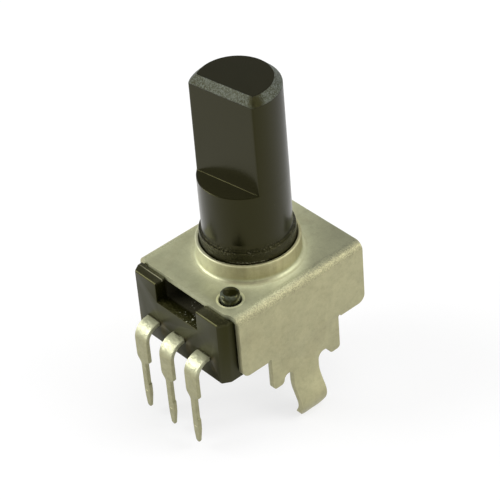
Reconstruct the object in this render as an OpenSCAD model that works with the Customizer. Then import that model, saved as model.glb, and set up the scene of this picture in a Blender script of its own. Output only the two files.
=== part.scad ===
// Upright rotary potentiometer for a circuit board: a plastic D shaft turns in a stamped cover
// that snaps into the board, over a moulded housing with a carbon element inside.
// The origin lies on the shaft's axis at the board's surface. +Z runs up the shaft and
// -Y faces the three terminals. The shaft is drawn where it stands at rest.

/* [Shaft] */
// Diameter of the shaft
shaft_d = 6; // [5.6:0.05:6.1]
// Height of the shaft's tip above the cover's plate
shaft_rise = 13.6; // [11:0.1:24]
// Distance from the flat to the round side behind it
flat_across = 4.5; // [4:0.1:5.2]
// Length of the flat, from the tip down
flat_length = 7.2; // [4:0.1:9]
// How much slimmer the D part is moulded than the round part below it, all round
draft_step = 0.03; // [0.01:0.01:0.06]
// Chamfer round the tip
tip_chamfer = 0.5; // [0.2:0.05:0.7]
// Step from the shaft's side out to the journal's
journal_step = 0.2; // [0.1:0.05:0.3]
// Height of the journal's shoulder above the collar
journal_rise = 0.8; // [0.2:0.1:1.5]
// Room for the wiper between the prints and the rotor
under_rotor = 0.97; // [0.8:0.01:1.3]
// Gap between the hub under the rotor and the collector track
hub_gap = 0.2; // [0.1:0.05:0.3]
// Step from the hub in to the spigot that turns in the floor
spigot_step = 0.25; // [0.2:0.05:0.4]

/* [Travel] */
// Whole travel between the two stops, in degrees
travel = 280; // [240:5:300]
// Width of the rotor's stop tooth, in degrees
tooth_turn = 28; // [16:1:34]
// Height of the stop tooth, from the rotor's top down
tooth_h = 1.4; // [1:0.1:1.9]
// Depth of the housing's stop
stop_depth = 0.45; // [0.35:0.05:0.6]
// Turn of the shaft from the middle of its travel, as it stands at rest
rest_turn = 9; // [-30:1:30]

/* [Cover] */
// Width of the cover across its two flanges
cover_w = 9.8; // [9.7:0.1:11]
// Depth of the cover's plate, from front to back
cover_d = 11.1; // [10.8:0.1:12]
// Height of the plate's top face above the board
plate_h = 7.5; // [7.4:0.1:9]
// Thickness of the sheet
sheet = 0.4; // [0.3:0.05:0.5]
// Inside radius of the two long bends
bend_r = 0.2; // [0.1:0.05:0.4]
// Height of the drawn collar above the plate
collar_h = 1.35; // [0.8:0.05:2.5]
// Wall of the drawn collar
collar_wall = 0.25; // [0.2:0.05:0.4]
// Fillet where the collar rises out of the plate
collar_foot = 0.2; // [0.15:0.05:0.4]
// Height of the flanges' lower edges above the board
flange_z = 2.6; // [2.2:0.05:3]
// How far the flanges' front edges stand behind the plate's front edge
flange_setback = 0.2; // [0.1:0.05:0.4]
// Radius at the flanges' lower corners
flange_corner = 0.6; // [0.3:0.05:0.9]

/* [Tabs and lugs] */
// Width of the tab on each flange that stands on the board
tab_w = 6; // [5.4:0.1:7]
// How far the tabs' middle lies behind the shaft's axis
tab_y = 0.1; // [-0.2:0.05:0.3]
// Width of each standing tooth
tooth_w = 0.95; // [0.6:0.05:1.1]
// Height of the relief notches beside the lugs, above the board
notch_z = 0.65; // [0.3:0.05:1]
// Width of the snap-in lugs
lug_w = 2.25; // [1.6:0.05:2.5]
// Reach of the snap-in lugs below the board's surface
lug_reach = 3.4; // [2.8:0.1:4]
// Length of the lugs' straight root below the board's surface
lug_root = 0.75; // [0.5:0.05:1]
// Depth of the lugs' knee below the board's surface
lug_knee = 2.35; // [2:0.05:2.5]
// How far the corner of the knee springs out, before it is rounded
lug_out = 0.78; // [0.4:0.02:0.9]
// How far the lugs' tips stand out
lug_tip_out = 0.2; // [0:0.05:0.3]

/* [Housing] */
// Thickness of the front wall's lip, which stands in front of the plate
lip_t = 0.9; // [0.6:0.05:1.2]
// How far the rear face stands in from the plate's rear edge
rear_inset = 0.1; // [0:0.05:0.4]
// Height of the housing's underside above the board
housing_z = 2.4; // [2.3:0.05:2.6]
// Thickness of the floor
floor_t = 0.8; // [0.7:0.05:0.9]
// Thinnest part of the side walls, beside the rotor
side_wall = 0.42; // [0.35:0.01:0.5]
// Wall round the front part of the printed board
board_wall = 0.6; // [0.4:0.05:0.7]
// How far the front wall ends below the plate's top face
lip_drop = 0.2; // [0.1:0.05:0.35]
// Cut of the upright corners along the front
corner_x = 0.34; // [0.1:0.02:0.5]
// Cut of the upright corners along the sides
corner_y = 0.55; // [0.2:0.05:0.7]
// Width of the window in the front wall
window_w = 4.05; // [3:0.05:4.2]
// Height of the window's sill above the underside
sill = 3.35; // [2.6:0.05:3.8]
// Diameter of the locating peg
peg_d = 1.3; // [1:0.05:1.5]
// Sideways place of the locating peg
peg_x = 2.9; // [2.8:0.05:3.2]
// Distance of the locating peg behind the plate's front edge
peg_in = 1.3; // [0.9:0.05:1.4]
// Height of the locating peg above the plate
peg_rise = 0.6; // [0.3:0.05:0.8]

/* [Element] */
// Thickness of the printed board
board_t = 0.6; // [0.5:0.05:0.7]
// How far the middle of the resistive track lies inside the rotor's rim
track_in = 0.62; // [0.55:0.01:0.7]
// Width of the resistive track
track_w = 0.7; // [0.5:0.05:0.75]
// Distance between the middles of the two tracks
track_gap = 0.93; // [0.85:0.01:1]
// Width of the collector track
collector_w = 0.6; // [0.4:0.05:0.64]
// Width of the printed leads
lead_w = 0.7; // [0.5:0.05:0.9]
// Thickness of the prints
print_t = 0.03; // [0.02:0.01:0.04]
// How far the track runs on past the brushes' last place at each stop, in degrees
track_over = 4; // [2:1:6]
// Length of the silver ends of the track, in degrees
electrode_turn = 14; // [8:1:16]

/* [Wiper] */
// Thickness of the wiper's spring sheet
wiper_t = 0.12; // [0.1:0.01:0.15]
// Width of each brush
brush_w = 0.44; // [0.36:0.02:0.5]
// Fingers that each brush is slit into
fingers = 3; // [2:1:4]
// Slit between two fingers
slit = 0.05; // [0.04:0.01:0.06]
// Length of the brushes, from the plate to the contact
brush_len = 1.05; // [0.9:0.05:1.1]
// How far inside the rotor's rim the wiper is staked to it
stake_in = 0.9; // [0.8:0.05:1]
// Diameter of the stakes
stake_d = 0.6; // [0.4:0.05:0.7]

/* [Terminals] */
// Distance between neighbouring terminals
pitch = 2.5; // [2.4:0.02:2.54]
// Distance of the pins' row from the housing's front face
row_out = 1.2; // [1.1:0.05:1.7]
// Thickness of the terminals
term_t = 0.3; // [0.2:0.05:0.35]
// Width of the terminals above their shoulders
term_w = 1.22; // [1:0.02:1.3]
// Inside radius of the terminals' bend
term_bend = 0.9; // [0.4:0.05:0.95]
// Width of the pins
pin_w = 0.5; // [0.4:0.02:0.6]
// Reach of the pins below the board's surface
pin_reach = 2.85; // [2.4:0.05:3.4]
// Height of the shoulders above the board
shoulder_z = 1; // [0.6:0.05:1.2]
// Outer diameter of the hollow rivets
rivet_d = 0.7; // [0.6:0.02:0.76]
// Width of the rivets' brims, outside the shank
rivet_brim = 0.2; // [0.12:0.02:0.24]
// Thickness of the rivets' heads and brims
rivet_head = 0.12; // [0.08:0.01:0.2]
// Distance of the rivets from the housing's front face
rivet_in = 1.5; // [1.4:0.05:1.7]

/* [Fits] */
// Radial clearance of the journal and the spigot
running = 0.05; // [0.02:0.01:0.08]
// End play of the rotor, above and below
end_play = 0.1; // [0.05:0.01:0.15]
// Gap round pieces that are seated in another
seat = 0.02; // [0.01:0.01:0.04]
// Gap between the plate's front edge and the housing's lip
lip_gap = 0.05; // [0.02:0.01:0.1]
// Gap between the housing's sides and the flanges
side_gap = 0.13; // [0.05:0.01:0.2]
// Gap under the brushes' contacts
brush_gap = 0.05; // [0.03:0.01:0.08]
// Gap between the stop tooth and the wall round it
tooth_play = 0.07; // [0.05:0.01:0.1]
// Gap left between tooth and stop at each end of the travel, in degrees
stop_gap = 0.4; // [0.2:0.1:1]
// Gap round the peg in the cover's hole
peg_gap = 0.08; // [0.04:0.01:0.12]

/* [Hidden] */
$fn = 96;

// A cut runs this far past the face that it opens
past = 0.1;

// Heights of the stack, from the floor up
floor_top = housing_z + floor_t;
spigot_floor = floor_top - floor_t * 0.6;
board_top = floor_top + board_t;
print_top = board_top + print_t;
tongue_top = print_top + term_t;
rotor_z = print_top + under_rotor;
sill_z = housing_z + sill;
lip_z = plate_h - lip_drop;
plate_under = plate_h - sheet;
rotor_top = plate_under - end_play;
collar_top = plate_h + collar_h;
journal_top = collar_top + journal_rise;
shaft_tip = plate_h + shaft_rise;
ledge_z = shaft_tip - flat_length;

// Radii about the shaft's axis
shaft_r = shaft_d / 2;
d_r = shaft_r - draft_step;
flat_off = flat_across - shaft_r;
journal_r = shaft_r + journal_step;
collar_bore = journal_r + running;
collar_r = collar_bore + collar_wall;
housing_w = cover_w - 2 * (sheet + side_gap);
cavity_r = housing_w / 2 - side_wall;
tooth_r = cavity_r - tooth_play;
rotor_r = cavity_r - stop_depth;
stop_r = rotor_r + running;
track_r = rotor_r - track_in;
collector_r = track_r - track_gap;
hub_r = collector_r - collector_w / 2 - hub_gap;
spigot_r = hub_r - spigot_step;
stake_r = rotor_r - stake_in;

// Angles about the shaft's axis, with the shaft in the middle of its travel
stop_half = 180 - travel / 2 - tooth_turn / 2 - stop_gap;
track_a0 = 90 - travel / 2 - track_over;
track_a1 = 90 + travel / 2 + track_over;
stake_angles = [195, 270, 345];

// Places along Y
plate_front = -cover_d / 2;
plate_rear = cover_d / 2;
lip_y = plate_front - lip_gap;
face_y = lip_y - lip_t;
rear_y = plate_rear - rear_inset;
peg_y = plate_front + peg_in;
rivet_y = face_y + rivet_in;
row_y = face_y - row_out;

// A square corner of side r, hollowed to the same radius. It rounds a corner off, or fills one in
module spandrel(r) {
    difference() {
        translate([-past, -past]) square(r + past);
        translate([r, r]) circle(r);
    }
}

// The spandrel of a corner at p, whose solid lies in the given quarter, counted from +X +Y
module corner(p, quarter, r) {
    translate(p) rotate(90 * quarter) spandrel(r);
}

// A flat outline in X and Z, carried from y0 to y1
module along_y(y0, y1) {
    translate([0, y1, 0]) rotate([90, 0, 0]) linear_extrude(y1 - y0) children();
}

// A flat outline in Y and Z, carried from x0 to x1
module along_x(x0, x1) {
    translate([x0, 0, 0]) rotate([90, 0, 90]) linear_extrude(x1 - x0) children();
}

// Part of a flat ring between two angles
module ring_part(r0, r1, a0, a1) {
    steps = ceil((a1 - a0) / 40);
    reach = 2 * r1;
    intersection() {
        difference() {
            circle(r1);
            circle(r0);
        }
        polygon(concat([[0, 0]],
            [for (i = [0:steps]) let (a = a0 + (a1 - a0) * i / steps) reach * [cos(a), sin(a)]]));
    }
}

// Points of an arc round c
function arc(c, r, a0, a1, n = 8) =
    [for (i = [0:n]) let (a = a0 + (a1 - a0) * i / n) c + r * [cos(a), sin(a)]];

// A quadratic curve that turns the corner b between a and c
function turn(a, b, c, n = 8) =
    [for (i = [0:n]) let (t = i / n) (1 - t) * (1 - t) * a + 2 * t * (1 - t) * b + t * t * c];

// The point at the share s of the way from a to b
function between(a, b, s) = a + (b - a) * s;

// A strip of thickness t along a path: each point steps out square to its neighbours' line
function beside(p, i, d) =
    let (v = p[min(i + 1, len(p) - 1)] - p[max(i - 1, 0)]) p[i] + d * [v[1], -v[0]] / norm(v);
function strip(p, t) = concat([for (i = [0:len(p) - 1]) beside(p, i, t / 2)],
    [for (i = [len(p) - 1:-1:0]) beside(p, i, -t / 2)]);

// Cover: one stamping, a plate with a drawn collar and two flanges bent down

// Section of the plate and flanges, across the cover
module cover_section() {
    half = cover_w / 2;
    difference() {
        translate([-half, 0]) square([cover_w, plate_h]);
        for (s = [0, 1]) mirror([s, 0]) corner([half, plate_h], 2, bend_r + sheet);
        difference() {
            translate([-half + sheet, -past]) square([cover_w - 2 * sheet, plate_under + past]);
            for (s = [0, 1]) mirror([s, 0]) corner([half - sheet, plate_under], 2, bend_r);
        }
    }
}

// Outline of the blank seen from above. Its front edge swings back in an S before each bend
module cover_plan() {
    swing_w = 0.6;
    end_x = cover_w / 2 - 0.7;
    start_x = end_x - swing_w;
    angle = 2 * atan(flange_setback / swing_w);
    r = swing_w / 2 / sin(angle);
    difference() {
        translate([-cover_w / 2, plate_front]) square([cover_w, cover_d]);
        for (s = [0, 1]) mirror([s, 0]) polygon(concat(
            arc([start_x, plate_front + r], r, -90, angle - 90, 5),
            arc([end_x, plate_front + flange_setback - r], r, 90 + angle, 90, 5),
            [[cover_w, plate_front + flange_setback], [cover_w, plate_front - 1],
            [start_x, plate_front - 1]]));
    }
}

// Outline of a flange seen from the side, with its tab, teeth and the lug's root
module flange_side() {
    front = plate_front + flange_setback;
    tab_0 = tab_y - tab_w / 2;
    tab_1 = tab_y + tab_w / 2;
    nick = 0.12;
    difference() {
        union() {
            translate([front, flange_z]) square([plate_rear - front, plate_h - flange_z]);
            translate([plate_front, plate_under - bend_r])
                square([flange_setback + past, sheet + bend_r]);
            translate([tab_0, 0]) square([tab_w, flange_z + past]);
        }
        corner([front, flange_z], 0, flange_corner);
        corner([plate_rear, flange_z], 1, flange_corner);
        // round nicks at the tab's two roots, where the die turns the corner
        for (y = [tab_0 - nick, tab_1 + nick]) translate([y, flange_z]) circle(nick);
        // relief notches between the teeth and the lug
        for (e = [[tab_0 + tooth_w, -lug_w / 2], [lug_w / 2, tab_1 - tooth_w]]) {
            r = (e[1] - e[0]) / 2 - 0.01;
            translate([e[0], -past]) square([e[1] - e[0], notch_z - r + past]);
            translate([(e[0] + e[1]) / 2, notch_z - r]) circle(r);
        }
        // rounded teeth
        for (y = [tab_0, tab_1 - tooth_w]) {
            corner([y, 0], 0, tooth_w * 0.3);
            corner([y + tooth_w, 0], 1, tooth_w * 0.3);
        }
    }
}

// Middle line of a lug: straight at its root, out to the knee and back in to the tip
function lug_path() = let (root = [0, notch_z + 0.2], a = [0, -lug_root],
        knee = [lug_out, -lug_knee], tip = [lug_tip_out, -lug_reach])
    concat([root], turn(between(a, root, 0.25), a, between(a, knee, 0.3)),
        turn(between(knee, a, 0.3), knee, between(knee, tip, 0.5)), [tip]);

// A snap-in lug on the +X flange
module lug() {
    round = lug_w * 0.25;
    intersection() {
        along_y(-lug_w / 2, lug_w / 2)
            translate([cover_w / 2 - sheet / 2, 0]) polygon(strip(lug_path(), sheet));
        along_x(cover_w / 2 - 2 * sheet, cover_w / 2 + lug_out + sheet) difference() {
            translate([-lug_w / 2, -lug_reach - sheet])
                square([lug_w, lug_reach + notch_z + sheet + 1]);
            corner([-lug_w / 2, -lug_reach], 0, round);
            corner([lug_w / 2, -lug_reach], 1, round);
            translate([-lug_w, -lug_reach - 1]) square([2 * lug_w, 1]);
        }
    }
}

// Section of the drawn collar, from the plate's underside up round the rolled lip
module collar_section() {
    flare = sheet * 0.75;
    lip = collar_wall * 0.3;
    difference() {
        translate([collar_bore, plate_under])
            square([collar_wall + collar_foot, collar_top - plate_under]);
        translate([collar_r, plate_h]) square([1, collar_h + past]);
        corner([collar_r, collar_top], 2, lip);
        corner([collar_bore, collar_top], 3, lip);
        corner([collar_bore, plate_under], 0, flare);
    }
    corner([collar_r, plate_h], 0, collar_foot);
}

// Hole for the locating peg, its upper edge broken
module peg_hole() {
    r = peg_d / 2 + peg_gap;
    edge = 0.06;
    cylinder(r = r, h = 2 * plate_h);
    translate([0, 0, plate_h - edge]) cylinder(r1 = r, r2 = r + 2 * edge, h = 2 * edge);
}

module cover() {
    color("#a9a683") {
        difference() {
            intersection() {
                along_y(plate_front - past, plate_rear + past) cover_section();
                linear_extrude(plate_h + past) cover_plan();
                along_x(-cover_w, cover_w) flange_side();
            }
            cylinder(r = collar_r + collar_foot / 2, h = 2 * plate_h);
            translate([peg_x, peg_y, 0]) peg_hole();
        }
        rotate_extrude() collar_section();
        for (s = [0, 1]) mirror([s, 0, 0]) lug();
    }
}

// Housing: moulded round the printed board, its rivets and the terminals. It is open at the top,
// with the window, the stop for the rotor's tooth and the locating peg

// Outline of the housing seen from above
module housing_plan() {
    w = housing_w / 2;
    polygon([[-w + corner_x, face_y], [w - corner_x, face_y], [w, face_y + corner_y],
        [w, rear_y - corner_x], [w - corner_x, rear_y], [-w + corner_x, rear_y],
        [-w, rear_y - corner_x], [-w, face_y + corner_y]]);
}

// Outline of the round hollow, less the stop
module cavity_plan() {
    difference() {
        circle(cavity_r);
        ring_part(stop_r, cavity_r + past, 90 - stop_half, 90 + stop_half);
    }
}

// Outline of the printed board: a round for the tracks and a straight part for the rivets
module board_plan(grow = 0) {
    w = housing_w / 2 - board_wall + grow;
    front = face_y + board_wall - grow;
    circle(cavity_r - side_gap / 2 + grow);
    translate([-w, front]) square([2 * w, -front]);
}

// Outline of a terminal's tongue, round behind its rivet
module tongue_plan(grow = 0) {
    w = term_w / 2 + grow;
    translate([0, rivet_y]) circle(w);
    translate([-w, row_y - 1]) square([2 * w, rivet_y - row_y + 1]);
}

// The front wall's lip, its front edge broken
module lip() {
    edge = 0.08;
    intersection() {
        translate([0, 0, housing_z]) linear_extrude(plate_h) housing_plan();
        along_x(-housing_w, housing_w) polygon([[face_y, housing_z], [face_y, lip_z - edge],
            [face_y + edge, lip_z], [lip_y, lip_z], [lip_y, housing_z]]);
    }
}

// The locating peg, domed at its top
module peg() {
    top = plate_h + peg_rise;
    dome = peg_d * 0.12;
    root = plate_under - 0.5;
    translate([peg_x, peg_y]) rotate_extrude() polygon([[0, root], [peg_d / 2, root],
        [peg_d / 2, top - dome], [peg_d / 2 - dome * 0.3, top - dome * 0.4],
        [peg_d / 2 - dome, top], [0, top]]);
}

// Room for a rivet: its head in the block above the board, its brim in the floor
module rivet_room() {
    r = rivet_d / 2 + rivet_brim;
    translate([0, rivet_y, board_top])
        cylinder(r = r + seat, h = tongue_top + rivet_head + seat - board_top);
    translate([0, rivet_y, housing_z - past]) cylinder(r = r + 0.1, h = floor_t + 2 * past);
}

module housing() {
    color("#2b2a22") difference() {
        union() {
            translate([0, 0, housing_z]) linear_extrude(plate_under - housing_z) housing_plan();
            lip();
            peg();
        }
        translate([0, 0, print_top + seat])
            linear_extrude(plate_under - print_top) cavity_plan();
        translate([0, 0, floor_top]) linear_extrude(print_top + seat - floor_top) board_plan(seat);
        // the window, through to the round hollow
        translate([-window_w / 2, face_y - past, sill_z])
            cube([window_w, past - face_y - window_w / 2, plate_h]);
        for (i = [-1:1]) translate([i * pitch, 0, 0]) {
            rivet_room();
            translate([0, 0, board_top])
                linear_extrude(tongue_top + seat - board_top) tongue_plan(seat);
        }
        translate([0, 0, spigot_floor]) cylinder(r = spigot_r + running, h = floor_t);
    }
}

// Shaft: the D shaft, its journal, the rotor with the stop tooth, and the spigot in one moulding

module shaft_body() {
    stake_head = 0.12;
    step = 0.08;
    hub_z = print_top + end_play;
    spigot_z = spigot_floor + end_play;
    difference() {
        rotate_extrude() polygon([[0, spigot_z], [spigot_r, spigot_z], [spigot_r, hub_z],
            [hub_r, hub_z], [hub_r, rotor_z], [rotor_r, rotor_z], [rotor_r, rotor_top],
            [journal_r, rotor_top], [journal_r, journal_top - step], [journal_r - step, journal_top],
            [shaft_r, journal_top], [shaft_r, ledge_z], [d_r, ledge_z],
            [d_r, shaft_tip - tip_chamfer], [d_r - tip_chamfer, shaft_tip], [0, shaft_tip]]);
        translate([-shaft_d, -flat_off - shaft_d, ledge_z])
            cube([2 * shaft_d, shaft_d, flat_length + past]);
        // the flat's own chamfer at the tip
        along_x(-shaft_d, shaft_d) polygon([[-flat_off - past, shaft_tip - tip_chamfer - past],
            [-flat_off + tip_chamfer + past, shaft_tip + past], [-flat_off - past, shaft_tip + past]]);
    }
    translate([0, 0, rotor_top - tooth_h]) linear_extrude(tooth_h)
        ring_part(rotor_r - past, tooth_r, -90 - tooth_turn / 2, -90 + tooth_turn / 2);
    for (a = stake_angles) rotate(a) translate([stake_r, 0, rotor_z - wiper_t - stake_head]) {
        cylinder(d = stake_d, h = stake_head + wiper_t + past);
        cylinder(d1 = stake_d, d2 = stake_d + 0.4, h = stake_head);
    }
}

module shaft() {
    color("#35332a") rotate(rest_turn) shaft_body();
}

// Wiper: one stamping of spring sheet, a ring with two brushes bent down out of it

// Side view of a finger: down from the plate, round the contact and up at its tip
function finger_path() = let (top = rotor_z - wiper_t / 2, low = print_top + brush_gap + wiper_t / 2,
        root = [brush_len + past, top], bend = [brush_len - 0.15, top], toe = [0, low],
        tip = [-0.3, low + 0.24])
    concat([root], turn(between(bend, root, 0.5), bend, between(bend, toe, 0.2), 4),
        turn(between(toe, bend, 0.2), toe, between(toe, tip, 0.6), 4), [tip]);

module brush(r) {
    w = (brush_w - slit * (fingers - 1)) / fingers;
    for (i = [0:fingers - 1]) {
        y = r - brush_w / 2 + i * (w + slit);
        along_y(y, y + w) polygon(strip(finger_path(), wiper_t));
    }
}

module wiper() {
    inner = hub_r + 0.1;
    outer = rotor_r - 0.1;
    color("#b08d4a") rotate(rest_turn) {
        difference() {
            translate([0, 0, rotor_z - wiper_t]) linear_extrude(wiper_t) difference() {
                circle(outer);
                circle(inner);
                translate([-brush_len, 0]) square([2 * brush_len, 2 * outer]);
            }
            for (a = stake_angles) rotate(a) translate([stake_r, 0, rotor_z - wiper_t - past])
                cylinder(d = stake_d + 2 * seat, h = wiper_t + 2 * past);
        }
        brush(track_r);
        brush(collector_r);
    }
}

// Element: a laminate board with the carbon track and its silver prints

module element_board() {
    color("#7d5f35") translate([0, 0, floor_top]) linear_extrude(board_t) difference() {
        board_plan();
        circle(spigot_r + 2 * running);
        for (i = [-1:1]) translate([i * pitch, rivet_y]) rivet_hole();
    }
}

// Height at which the prints lie on the board
module printed() {
    translate([0, 0, board_top]) linear_extrude(print_t) children();
}

module resistive_track() {
    color("#1d1d1f") printed()
        ring_part(track_r - track_w / 2, track_r + track_w / 2, track_a0, track_a1);
}

// The hole that each rivet passes through, in the board, the prints and the tongues
module rivet_hole() {
    circle(d = rivet_d + 2 * seat);
}

// The round print under a terminal's tongue
module land() {
    circle(d = term_w);
}

module collector_track() {
    color("#8f8f8a") printed() difference() {
        union() {
            circle(collector_r + collector_w / 2);
            translate([-lead_w / 2, rivet_y]) square([lead_w, -rivet_y - collector_r]);
            translate([0, rivet_y]) land();
        }
        circle(collector_r - collector_w / 2);
        translate([0, rivet_y]) rivet_hole();
    }
}

// The silver end of the track on the +X side, with its lead to the rivet
module end_electrode() {
    a = track_a0 - electrode_turn / 2;
    start = track_r * [cos(a), sin(a)];
    half = [lead_w / 2, 0];
    end = [pitch, rivet_y];
    difference() {
        union() {
            printed() ring_part(track_r - track_w / 2, track_r + track_w / 2,
                track_a0 - electrode_turn, track_a0);
            printed() polygon([start - half, start + half, end + half, end - half]);
            printed() translate(end) land();
        }
        translate([pitch, rivet_y, 0]) linear_extrude(plate_h) rivet_hole();
    }
}

module electrode_right() {
    color("#8f8f8a") end_electrode();
}

module electrode_left() {
    color("#8f8f8a") mirror([1, 0, 0]) end_electrode();
}

// Terminals: sheet strips riveted to the board, through the front wall and bent down

// Side view of a terminal, in Y and Z: the tongue, the bend and the leg
module terminal_side() {
    front = row_y - term_t / 2;
    reach = rivet_y + term_w;
    difference() {
        translate([front, -pin_reach]) square([reach - front, tongue_top + pin_reach]);
        corner([front, tongue_top], 3, term_bend + term_t);
        difference() {
            translate([front + term_t, -pin_reach - past])
                square([reach - front, print_top + pin_reach + past]);
            corner([front + term_t, print_top], 3, term_bend);
        }
    }
}

// Front view of a terminal: a taper on its left, a step on its right, and a barbed, pointed pin
module terminal_front() {
    w = term_w / 2;
    p = pin_w / 2;
    barb = 0.08;
    barb_z = -0.6;
    tip = 0.08;
    taper_z = -pin_reach + 0.9;
    polygon([[-w, tongue_top + 1], [-w, shoulder_z + 0.6], [-w * 0.93, shoulder_z + 0.4],
        [-p * 1.2, shoulder_z + 0.06], [-p, shoulder_z - 0.1], [-p, taper_z],
        [-2 * tip, -pin_reach + 0.12], [-tip, -pin_reach], [tip, -pin_reach],
        [2 * tip, -pin_reach + 0.12], [p + barb, taper_z + 0.3], [p + barb, barb_z - 0.1],
        [p, barb_z], [p, shoulder_z + 0.05], [p * 1.15, shoulder_z + 0.12],
        [w * 0.85, shoulder_z + 0.22], [w, shoulder_z + 0.4], [w, tongue_top + 1]]);
}

module terminal(x) {
    color("#b3af8e") translate([x, 0, 0]) difference() {
        intersection() {
            along_x(-term_w / 2, term_w / 2) terminal_side();
            along_y(row_y - 1, 0) terminal_front();
            translate([0, 0, -pin_reach - 1]) linear_extrude(plate_h + pin_reach) tongue_plan();
        }
        translate([0, rivet_y, 0]) linear_extrude(plate_h) rivet_hole();
    }
}

module terminal_left() {
    terminal(-pitch);
}

module terminal_centre() {
    terminal(0);
}

module terminal_right() {
    terminal(pitch);
}

// Rivets: hollow, headed on the tongue and flared under the board
module rivet(x) {
    r = rivet_d / 2;
    bore = r - 0.12;
    brim = r + rivet_brim;
    color("#9a9a92") translate([x, rivet_y, 0]) rotate_extrude() polygon([
        [bore, floor_top - rivet_head], [brim, floor_top - rivet_head], [brim, floor_top],
        [r, floor_top], [r, tongue_top], [brim, tongue_top],
        [brim - 0.05, tongue_top + rivet_head], [bore, tongue_top + rivet_head]]);
}

module rivet_left() {
    rivet(-pitch);
}

module rivet_centre() {
    rivet(0);
}

module rivet_right() {
    rivet(pitch);
}

cover();
housing();
shaft();
wiper();
element_board();
resistive_track();
collector_track();
electrode_left();
electrode_right();
terminal_left();
terminal_centre();
terminal_right();
rivet_left();
rivet_centre();
rivet_right();
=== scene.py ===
# %% [markdown]
# A rotary potentiometer, dressed
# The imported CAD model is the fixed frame: every piece here lies where its solid lies. This
# script adds what the solids lack, which is surface. We load the frame first and keep its box,
# because the dressed model may not grow past it.

import math

import bmesh
import bpy
import numpy as np
from mathutils import Matrix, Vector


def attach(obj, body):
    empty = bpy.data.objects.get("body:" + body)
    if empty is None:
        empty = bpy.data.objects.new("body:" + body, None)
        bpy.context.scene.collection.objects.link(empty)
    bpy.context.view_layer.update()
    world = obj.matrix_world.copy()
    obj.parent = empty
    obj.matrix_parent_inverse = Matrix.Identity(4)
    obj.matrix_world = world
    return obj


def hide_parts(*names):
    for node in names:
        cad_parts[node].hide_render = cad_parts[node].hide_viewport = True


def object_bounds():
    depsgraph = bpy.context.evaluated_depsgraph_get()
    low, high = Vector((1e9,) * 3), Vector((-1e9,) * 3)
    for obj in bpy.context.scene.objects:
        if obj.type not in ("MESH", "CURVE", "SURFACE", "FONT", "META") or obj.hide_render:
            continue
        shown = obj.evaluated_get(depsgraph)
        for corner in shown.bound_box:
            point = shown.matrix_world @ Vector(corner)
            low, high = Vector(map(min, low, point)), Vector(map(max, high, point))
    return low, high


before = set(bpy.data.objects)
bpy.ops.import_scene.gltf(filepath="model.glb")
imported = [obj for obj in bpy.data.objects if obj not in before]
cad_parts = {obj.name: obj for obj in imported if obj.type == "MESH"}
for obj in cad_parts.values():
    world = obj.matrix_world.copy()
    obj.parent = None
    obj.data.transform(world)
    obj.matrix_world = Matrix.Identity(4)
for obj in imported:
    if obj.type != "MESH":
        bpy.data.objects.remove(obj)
cad_box = [list(corner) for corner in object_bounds()]
MM = 0.001
print("box in mm:", [[round(c / MM, 2) for c in corner] for corner in cad_box])

# %% [markdown]
# The camera comes first, because everything that follows is compared with the photograph
# through it. The photograph was taken with a long lens from above the right front corner, with
# the camera rolled a little, so that the shaft leans to the left. We build the camera's three
# axes from its azimuth, elevation and roll instead of turning it by hand, so the numbers can
# be read and changed one by one.

# %% Camera
AZIMUTH, ELEVATION, ROLL = (math.radians(a) for a in (51.138, 38.562, 5.009))
TARGET = np.array([0.019, 0.021, 7.439]) * MM
DISTANCE = 143.14 * MM
LENS = 156.97


def placed(x, y, z, origin):
    """A 4 by 4 pose whose columns are the three axes and the place."""
    pose = np.eye(4)
    pose[:3, 0], pose[:3, 1], pose[:3, 2], pose[:3, 3] = x, y, z, origin
    return Matrix(pose.tolist())


def level_axes(z):
    """The level axis to the right of a direction z, and the upright axis square to both."""
    x = np.cross([0, 0, 1], z)
    x /= np.linalg.norm(x)
    return x, np.cross(z, x)


back = np.array([math.sin(AZIMUTH) * math.cos(ELEVATION),
                 -math.cos(AZIMUTH) * math.cos(ELEVATION), math.sin(ELEVATION)])
level, upright = level_axes(back)
camera_data = bpy.data.cameras.new("camera")
camera_data.lens = LENS
camera_data.sensor_width = 36
camera_data.clip_start = 0.005
camera_data.clip_end = 10
camera = bpy.data.objects.new("camera", camera_data)
bpy.context.scene.collection.objects.link(camera)
camera.matrix_world = placed(math.cos(ROLL) * level - math.sin(ROLL) * upright,
                             math.sin(ROLL) * level + math.cos(ROLL) * upright,
                             back, TARGET + DISTANCE * back)
bpy.context.scene.camera = camera
print("camera at, in mm:", [round(c / MM, 2) for c in camera.matrix_world.translation])

# %% [markdown]
# Materials are node trees, and writing them node by node hides the idea behind them. The class
# Wire wraps an output socket, so that 0.3 + 0.2 * grain adds the two Math nodes by itself. The
# class Look holds one material and has one method for every other kind of node.

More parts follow.
